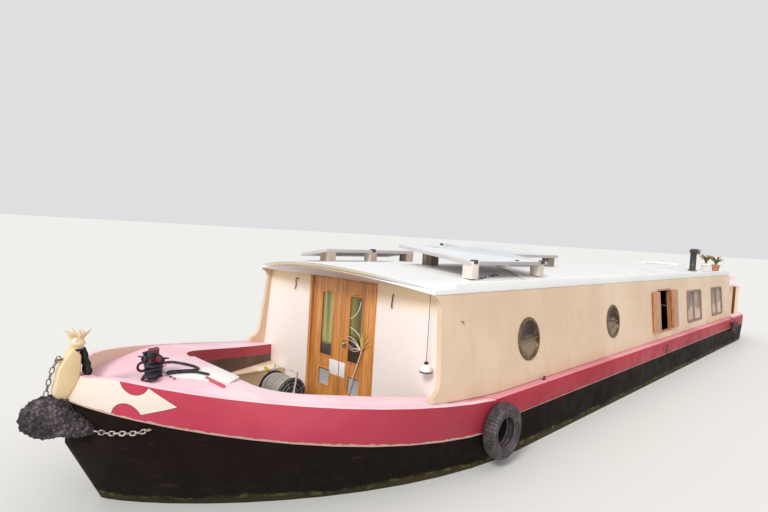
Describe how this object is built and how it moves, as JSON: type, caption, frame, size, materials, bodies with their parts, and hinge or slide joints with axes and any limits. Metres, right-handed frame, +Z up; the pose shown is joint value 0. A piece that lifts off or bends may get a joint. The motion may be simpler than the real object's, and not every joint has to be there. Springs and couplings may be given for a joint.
{
  "type": "wide-beam canal houseboat",
  "caption": "Steel flat-bottomed wide-beam canal houseboat with a raked bow, open well deck, long arched-roof cabin with portholes and windows, and a rounded counter stern.",
  "frame": {"origin": "middle of the underside of the flat baseplate", "axes": "+X forward to the stem, +Y to port, +Z up"},
  "size_m": [16.025, 3.3579, 2.8048],
  "materials": {
    "blacking": "matt bitumen blacking",
    "crimson": "faded gloss enamel",
    "deck_pink": "chalky matt deck paint",
    "cream": "satin enamel",
    "off_white": "satin enamel",
    "roof_white": "chalky matt roof paint",
    "oak": "varnished",
    "ply": "weathered varnish",
    "bronze": "dark oxidised bronze",
    "steel_tube": "dull zinc plate",
    "iron": "sooty black",
    "rope": "laid dark rope",
    "coir": "knotted old rope",
    "tyre": "worn black rubber",
    "solar": "satin frame with a pale glass face",
    "terracotta": "matt clay colour",
    "engine_green": "painted casting",
    "hose": "matt garden hose",
    "lamp_white": "glossy white"
  },
  "bodies": {
    "boat": {"bow_band": "crimson", "bow_fender": "coir", "cabin_side_port": "cream", "cabin_side_starboard": "cream", "chimney": "iron", "engine": "engine_green", "fender_chain_port": "steel_tube", "fender_chain_starboard": "steel_tube", "foredeck": "deck_pink", "foredeck_plate": "off_white", "front_bulkhead": "off_white", "front_door_frame": "oak", "gunwale_band": "crimson", "hose_reel_stand": "steel_tube", "hull_shell": "blacking", "lamp_cord": "iron", "lamp_shade": "lamp_white", "mooring_stud": "crimson", "plant_pot_aft": "terracotta", "plant_pot_forward": "terracotta", "porthole_port_aft": "bronze", "porthole_port_forward": "bronze", "porthole_starboard_aft": "bronze", "porthole_starboard_forward": "bronze", "rear_bulkhead": "cream", "roof": "roof_white", "side_deck_port": "deck_pink", "side_deck_starboard": "deck_pink", "side_hatch_frame": "oak", "solar_panel_middle": "solar", "solar_panel_port": "solar", "solar_panel_starboard": "solar", "stem_chain": "steel_tube", "stem_finial": "cream", "stem_lashing": "rope", "stem_post": "cream", "stern_deck": "deck_pink", "stern_fender": "coir", "stud_rope_tail": "rope", "stud_rope_turns": "rope", "tyre_fender": "tyre", "well_locker": "ply", "window_port_aft": "bronze", "window_port_forward": "bronze", "window_starboard_aft": "bronze", "window_starboard_forward": "bronze"},
    "front_door_port": {"front_door_port": "oak"},
    "front_door_starboard": {"front_door_starboard": "oak"},
    "side_hatch_leaf_forward": {"side_hatch_leaf_forward": "oak"},
    "side_hatch_leaf_aft": {"side_hatch_leaf_aft": "oak"},
    "rear_door_port": {"rear_door_port": "oak"},
    "rear_door_starboard": {"rear_door_starboard": "oak"},
    "sliding_hatch": {"rear_sliding_hatch": "crimson"},
    "locker_lid": {"well_locker_lid": "off_white"},
    "hose_drum": {"hose_reel_drum": "hose"},
    "propeller": {"propeller": "bronze"},
    "rudder": {"rudder": "blacking"}
  },
  "joints": [
    {"name": "front_door_port_hinge", "type": "hinge", "parent": "boat", "child": "front_door_port", "pos_m": [4.978, 0.49, 1.5], "axis": [0, 0, -1], "range_deg": [0, 100]},
    {"name": "front_door_starboard_hinge", "type": "hinge", "parent": "boat", "child": "front_door_starboard", "pos_m": [4.978, -0.49, 1.5], "axis": [0, 0, 1], "range_deg": [0, 100]},
    {"name": "side_hatch_forward_hinge", "type": "hinge", "parent": "boat", "child": "side_hatch_leaf_forward", "pos_m": [-0.857, 1.43829, 1.69231], "axis": [0, -0.1132, 0.9936], "range_deg": [0, 180]},
    {"name": "side_hatch_aft_hinge", "type": "hinge", "parent": "boat", "child": "side_hatch_leaf_aft", "pos_m": [-1.523, 1.43829, 1.69231], "axis": [0, 0.1132, -0.9936], "range_deg": [0, 180]},
    {"name": "rear_door_port_hinge", "type": "hinge", "parent": "boat", "child": "rear_door_port", "pos_m": [-6.366, 0.353, 1.8], "axis": [0, 0, -1], "range_deg": [0, 100]},
    {"name": "rear_door_starboard_hinge", "type": "hinge", "parent": "boat", "child": "rear_door_starboard", "pos_m": [-6.366, -0.353, 1.8], "axis": [0, 0, 1], "range_deg": [0, 100]},
    {"name": "sliding_hatch_slide", "type": "slide", "parent": "boat", "child": "sliding_hatch", "axis": [1, 0, 0], "range_m": [0, 0.65]},
    {"name": "locker_lid_hinge", "type": "hinge", "parent": "boat", "child": "locker_lid", "pos_m": [5.225, -1.124, 1.072], "axis": [1, 0, 0], "range_deg": [0, 85]},
    {"name": "hose_drum_spin", "type": "hinge", "parent": "boat", "child": "hose_drum", "pos_m": [5.44, -0.42, 0.975], "axis": [0, 1, 0], "continuous": true},
    {"name": "propeller_spin", "type": "hinge", "parent": "boat", "child": "propeller", "pos_m": [-7.412, 0, 0.3], "axis": [1, 0, 0], "continuous": true},
    {"name": "rudder_turn", "type": "hinge", "parent": "boat", "child": "rudder", "pos_m": [-7.65, 0, 0.6], "axis": [0, 0, 1], "range_deg": [-35, 35]}
  ]
}
